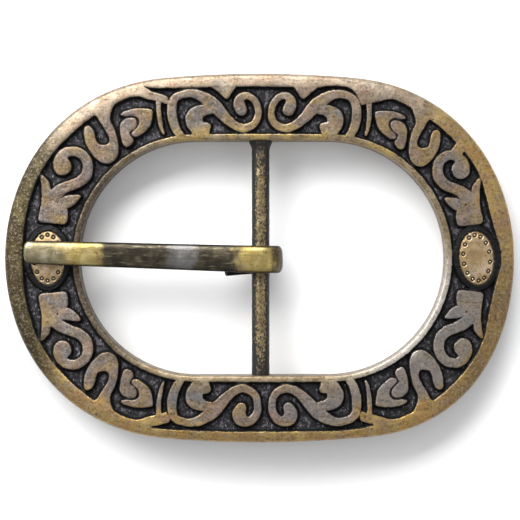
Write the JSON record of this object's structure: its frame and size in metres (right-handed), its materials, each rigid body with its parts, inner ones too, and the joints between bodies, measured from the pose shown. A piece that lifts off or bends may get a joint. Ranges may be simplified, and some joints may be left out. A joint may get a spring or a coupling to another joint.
{
  "type": "belt buckle",
  "caption": "Oval centre-bar belt buckle with scroll relief on an arched frame and a bent-strip prong that hinges on the bar.",
  "frame": {"origin": "centre of the oval outline, at the height of the lowest points of the back (the two curved-back ends)", "axes": "+X along the belt towards the free end, away from the prong's tip; +Y across the belt, along the centre bar; +Z out of the decorated front face. The prong points to -X."},
  "size_m": [0.0882, 0.0632, 0.0095],
  "materials": {
    "frame_brass": "antiqued cast brass: near-black rough recesses, brushed worn brown-gold high faces, warm rim",
    "bar_brass": "dark patinated round bar, speckled where the brass shows through, nearly black at both ends",
    "prong_brass": "satin antique gold at the tip and over the bar, dark gun-metal along the sagging middle"
  },
  "bodies": {
    "frame": {"frame": "frame_brass", "centre_bar": "bar_brass"},
    "prong": {"prong": "prong_brass"}
  },
  "joints": [
    {"name": "prong_hinge", "type": "hinge", "parent": "frame", "child": "prong", "pos_m": [0.0002, 0, 0.0056], "axis": [0, 1, 0], "range_deg": [0, 171]}
  ]
}
